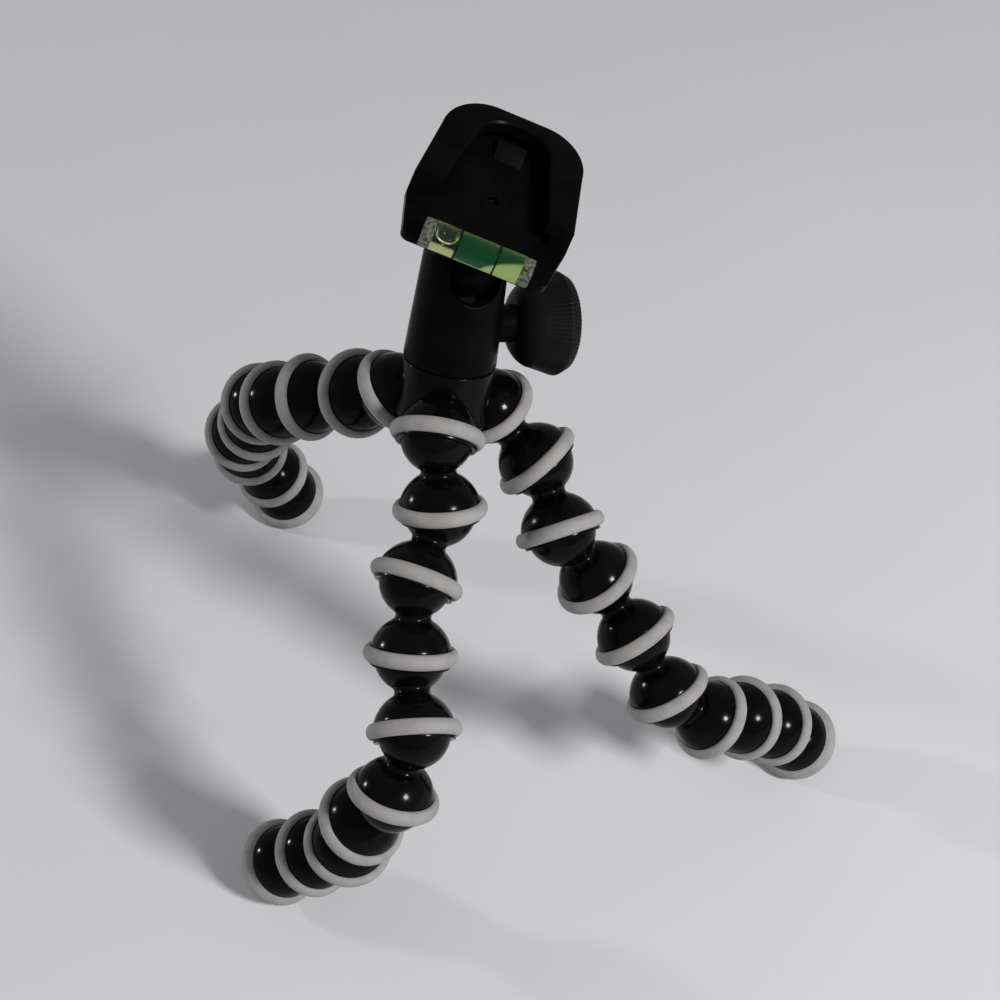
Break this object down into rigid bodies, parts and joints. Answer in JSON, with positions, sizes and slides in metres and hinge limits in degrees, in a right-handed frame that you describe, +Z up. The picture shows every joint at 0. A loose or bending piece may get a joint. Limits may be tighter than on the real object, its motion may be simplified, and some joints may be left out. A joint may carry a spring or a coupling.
{
  "type": "flexible leg tripod",
  "caption": "Small tripod with bendable legs of ball and socket pieces and rubber grip rings, under a ball head with a side lock knob and a quick release clamp with a level.",
  "frame": {"origin": "on the floor, under the middle of the box round the whole stand", "axes": "+Z up from the floor; -Y towards the viewer, +X to the right of the picture"},
  "size_m": [0.215, 0.2086, 0.229],
  "materials": {
    "gloss_black": "polished black moulded plastic",
    "satin_black": "satin black moulded plastic",
    "dark_plastic": "matt dark grey plastic",
    "grip_rubber": "matt warm grey rubber",
    "steel": "plain turned steel",
    "black_steel": "blackened steel",
    "clear_acrylic": "clear acrylic",
    "level_liquid": "yellow green level liquid"
  },
  "bodies": {
    "hub": {"hub_body": "gloss_black", "hub_rings": "grip_rubber", "pan_base": "satin_black", "pan_washer": "steel", "pan_screw": "steel"},
    "head": {"housing": "satin_black", "pressure_cup": "steel", "retainer_ring": "satin_black"},
    "knob": {"lock_knob": "satin_black", "lock_screw": "steel", "knob_cap": "satin_black"},
    "clamp": {"head_ball": "satin_black", "clamp_body": "satin_black", "clamp_bolt": "black_steel", "latch_spring": "steel", "vial_tube": "clear_acrylic", "vial_liquid": "level_liquid", "vial_plugs": "clear_acrylic"},
    "latch": {"latch": "dark_plastic", "latch_nut": "steel"},
    "front_leg_1": {"front_leg_1": "gloss_black"},
    "front_leg_2": {"front_leg_2": "gloss_black"},
    "front_leg_3": {"front_leg_3": "gloss_black"},
    "front_leg_4": {"front_leg_4": "gloss_black"},
    "front_leg_5": {"front_leg_5": "gloss_black"},
    "front_leg_6": {"front_leg_6": "gloss_black"},
    "front_leg_7": {"front_leg_7": "gloss_black"},
    "front_leg_8": {"front_leg_8": "gloss_black"},
    "front_foot": {"front_foot": "gloss_black", "front_pad": "grip_rubber"},
    "right_leg_1": {"right_leg_1": "gloss_black"},
    "right_leg_2": {"right_leg_2": "gloss_black"},
    "right_leg_3": {"right_leg_3": "gloss_black"},
    "right_leg_4": {"right_leg_4": "gloss_black"},
    "right_leg_5": {"right_leg_5": "gloss_black"},
    "right_leg_6": {"right_leg_6": "gloss_black"},
    "right_leg_7": {"right_leg_7": "gloss_black"},
    "right_leg_8": {"right_leg_8": "gloss_black"},
    "right_foot": {"right_foot": "gloss_black", "right_pad": "grip_rubber"},
    "back_leg_1": {"back_leg_1": "gloss_black"},
    "back_leg_2": {"back_leg_2": "gloss_black"},
    "back_leg_3": {"back_leg_3": "gloss_black"},
    "back_leg_4": {"back_leg_4": "gloss_black"},
    "back_leg_5": {"back_leg_5": "gloss_black"},
    "back_leg_6": {"back_leg_6": "gloss_black"},
    "back_leg_7": {"back_leg_7": "gloss_black"},
    "back_leg_8": {"back_leg_8": "gloss_black"},
    "back_foot": {"back_foot": "gloss_black", "back_pad": "grip_rubber"}
  },
  "joints": [
    {"name": "front_bend_1", "type": "hinge", "parent": "hub", "child": "front_leg_1", "pos_m": [-0.02256, -0.02461, 0.15365], "axis": [0.9429, -0.266, 0.2004], "range_deg": [-70.3, 9.7]},
    {"name": "front_bend_2", "type": "hinge", "parent": "front_leg_1", "child": "front_leg_2", "pos_m": [-0.02165, -0.03507, 0.13546], "axis": [-0.5885, -0.7133, 0.3807], "range_deg": [-21.9, 21.9]},
    {"name": "front_bend_3", "type": "hinge", "parent": "front_leg_2", "child": "front_leg_3", "pos_m": [-0.02787, -0.05216, 0.12496], "axis": [0.7771, -0.5097, 0.3692], "range_deg": [-63, 17]},
    {"name": "front_bend_4", "type": "hinge", "parent": "front_leg_3", "child": "front_leg_4", "pos_m": [-0.02905, -0.0656, 0.10888], "axis": [-0.9302, -0.2452, 0.273], "range_deg": [-60.5, 19.5]},
    {"name": "front_bend_5", "type": "hinge", "parent": "front_leg_4", "child": "front_leg_5", "pos_m": [-0.02747, -0.08356, 0.0981], "axis": [0.8362, 0.3342, -0.4349], "range_deg": [-79.4, 0.6]},
    {"name": "front_bend_6", "type": "hinge", "parent": "front_leg_5", "child": "front_leg_6", "pos_m": [-0.0335, -0.09216, 0.07991], "axis": [0.8671, 0.2734, -0.4164], "range_deg": [-75.4, 4.6]},
    {"name": "front_bend_7", "type": "hinge", "parent": "front_leg_6", "child": "front_leg_7", "pos_m": [-0.04336, -0.08857, 0.06173], "axis": [0.1966, -0.9361, -0.2915], "range_deg": [-54.4, 25.6]},
    {"name": "front_bend_8", "type": "hinge", "parent": "front_leg_7", "child": "front_leg_8", "pos_m": [-0.04844, -0.08349, 0.04199], "axis": [0.3226, 0.9334, 0.1572], "range_deg": [-61.2, 18.8]},
    {"name": "front_bend_9", "type": "hinge", "parent": "front_leg_8", "child": "front_foot", "pos_m": [-0.06013, -0.07674, 0.02591], "axis": [0.5, 0.866, 0], "range_deg": [-40, 40]},
    {"name": "right_bend_1", "type": "hinge", "parent": "hub", "child": "right_leg_1", "pos_m": [-0.00817, -0.00286, 0.14426], "axis": [-0.7081, -0.5989, -0.374], "range_deg": [-70.5, 9.5]},
    {"name": "right_bend_2", "type": "hinge", "parent": "right_leg_1", "child": "right_leg_2", "pos_m": [0.00576, -0.01091, 0.13077], "axis": [0.4463, -0.487, 0.7508], "range_deg": [-13.4, 66.6]},
    {"name": "right_bend_3", "type": "hinge", "parent": "right_leg_2", "child": "right_leg_3", "pos_m": [0.01256, -0.02549, 0.11727], "axis": [0.8051, -0.1547, 0.5726], "range_deg": [-76, 4]},
    {"name": "right_bend_4", "type": "hinge", "parent": "right_leg_3", "child": "right_leg_4", "pos_m": [0.0242, -0.0286, 0.10007], "axis": [-0.8265, -0.2159, -0.5199], "range_deg": [-59.7, 20.3]},
    {"name": "right_bend_5", "type": "hinge", "parent": "right_leg_4", "child": "right_leg_5", "pos_m": [0.03585, -0.03839, 0.08559], "axis": [0.6428, 0.766, 0], "range_deg": [-46.4, 33.6]},
    {"name": "right_bend_6", "type": "hinge", "parent": "right_leg_5", "child": "right_leg_6", "pos_m": [0.04619, -0.04706, 0.06951], "axis": [0.6997, -0.3356, 0.6307], "range_deg": [-73.5, 6.5]},
    {"name": "right_bend_7", "type": "hinge", "parent": "right_leg_6", "child": "right_leg_7", "pos_m": [0.06082, -0.04448, 0.05466], "axis": [0.7025, 0.0852, 0.7066], "range_deg": [-62.5, 17.5]},
    {"name": "right_bend_8", "type": "hinge", "parent": "right_leg_7", "child": "right_leg_8", "pos_m": [0.07314, -0.03415, 0.04116], "axis": [-0.8088, 0.3941, -0.4365], "range_deg": [-46.2, 33.8]},
    {"name": "right_bend_9", "type": "hinge", "parent": "right_leg_8", "child": "right_foot", "pos_m": [0.0853, -0.02563, 0.02631], "axis": [-0.5736, 0.8192, 0], "range_deg": [-50, 30]},
    {"name": "back_bend_1", "type": "hinge", "parent": "hub", "child": "back_leg_1", "pos_m": [-0.03558, -0.00085, 0.14782], "axis": [-0.0235, 0.9865, 0.162], "range_deg": [-28.4, 28.4]},
    {"name": "back_bend_2", "type": "hinge", "parent": "back_leg_1", "child": "back_leg_2", "pos_m": [-0.04774, 0.01132, 0.13577], "axis": [0.1756, -0.5984, -0.7817], "range_deg": [-26.4, 53.6]},
    {"name": "back_bend_3", "type": "hinge", "parent": "back_leg_2", "child": "back_leg_3", "pos_m": [-0.06349, 0.02041, 0.12527], "axis": [-0.0275, -0.7757, -0.6305], "range_deg": [-55.8, 24.2]},
    {"name": "back_bend_4", "type": "hinge", "parent": "back_leg_3", "child": "back_leg_4", "pos_m": [-0.07487, 0.03179, 0.11177], "axis": [0.3472, -0.5523, -0.7579], "range_deg": [-51.4, 28.6]},
    {"name": "back_bend_5", "type": "hinge", "parent": "back_leg_4", "child": "back_leg_5", "pos_m": [-0.08283, 0.04557, 0.09808], "axis": [-0.7567, -0.6255, -0.1899], "range_deg": [-60.3, 19.7]},
    {"name": "back_bend_6", "type": "hinge", "parent": "back_leg_5", "child": "back_leg_6", "pos_m": [-0.08642, 0.05544, 0.07989], "axis": [0.4229, 0.8289, 0.3662], "range_deg": [-53.1, 26.9]},
    {"name": "back_bend_7", "type": "hinge", "parent": "back_leg_6", "child": "back_leg_7", "pos_m": [-0.09416, 0.0665, 0.0638], "axis": [-0.1942, -0.8495, -0.4905], "range_deg": [-62.1, 17.9]},
    {"name": "back_bend_8", "type": "hinge", "parent": "back_leg_7", "child": "back_leg_8", "pos_m": [-0.09416, 0.077, 0.04562], "axis": [-0.5452, -0.726, -0.4192], "range_deg": [-60.9, 19.1]},
    {"name": "back_bend_9", "type": "hinge", "parent": "back_leg_8", "child": "back_foot", "pos_m": [-0.08789, 0.08327, 0.02659], "axis": [0.489, 0.7676, 0.4143], "range_deg": [-50.5, 29.5]},
    {"name": "head_pan", "type": "hinge", "parent": "hub", "child": "head", "pos_m": [-0.01965, -0.00417, 0.16455], "axis": [0.1445, 0.31, 0.9397], "continuous": true},
    {"name": "head_tilt", "type": "hinge", "parent": "head", "child": "clamp", "pos_m": [-0.0156, 0.00451, 0.19086], "axis": [0.9217, 0.3034, -0.2418], "range_deg": [-62, 62]},
    {"name": "lock_turn", "type": "hinge", "parent": "head", "child": "knob", "pos_m": [-0.00274, 0.00415, 0.17038], "axis": [0.9217, 0.3034, -0.2418], "range_deg": [-270, 45]},
    {"name": "latch_slide", "type": "slide", "parent": "clamp", "child": "latch", "axis": [-0.2967, 0.1493, -0.9432], "range_m": [0, 0.002], "stiffness_N_per_m": 900, "springref_m": -0.001, "deforming": ["latch_spring"]}
  ]
}
